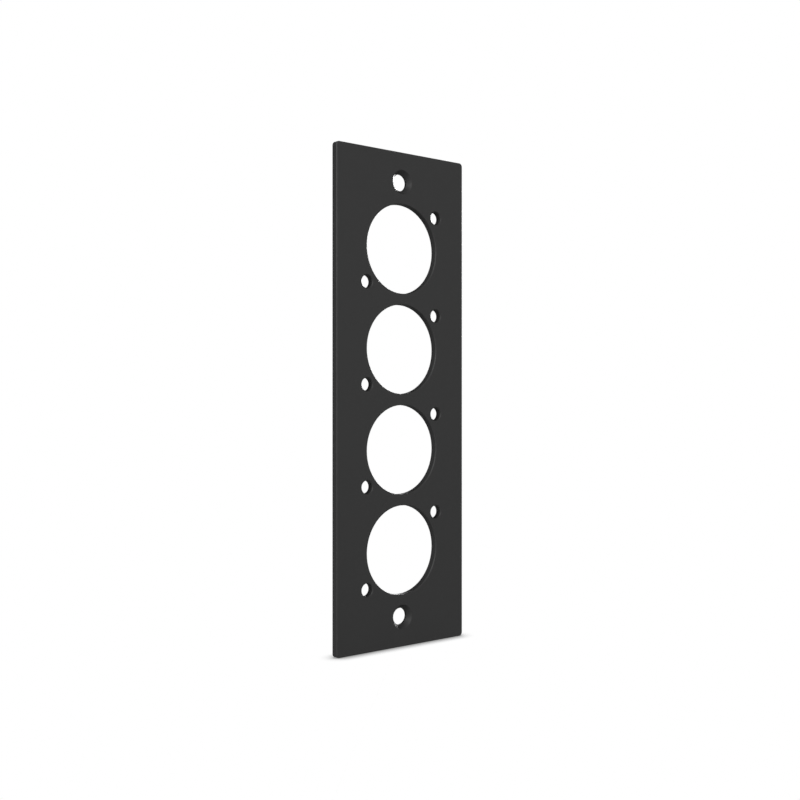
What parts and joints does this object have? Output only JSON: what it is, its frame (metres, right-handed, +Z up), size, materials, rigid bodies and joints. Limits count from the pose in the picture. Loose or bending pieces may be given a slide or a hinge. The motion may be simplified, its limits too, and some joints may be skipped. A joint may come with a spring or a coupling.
{
  "type": "rack connector panel",
  "caption": "Flat upright module plate for a rack frame, with a column of round connector holes, diagonal fixing holes beside each and a countersunk screw hole at each end.",
  "frame": {"origin": "middle of the flat back face, midway between the two frame screws", "axes": "+Z up the long side as pictured, +Y out of the back towards the frame, -Y out of the front, +X to the right seen from the front"},
  "size_m": [0.044, 0.002, 0.133],
  "materials": {
    "powder_coated_steel": "matte"
  },
  "bodies": {
    "root": {"panel": "powder_coated_steel"}
  },
  "joints": []
}
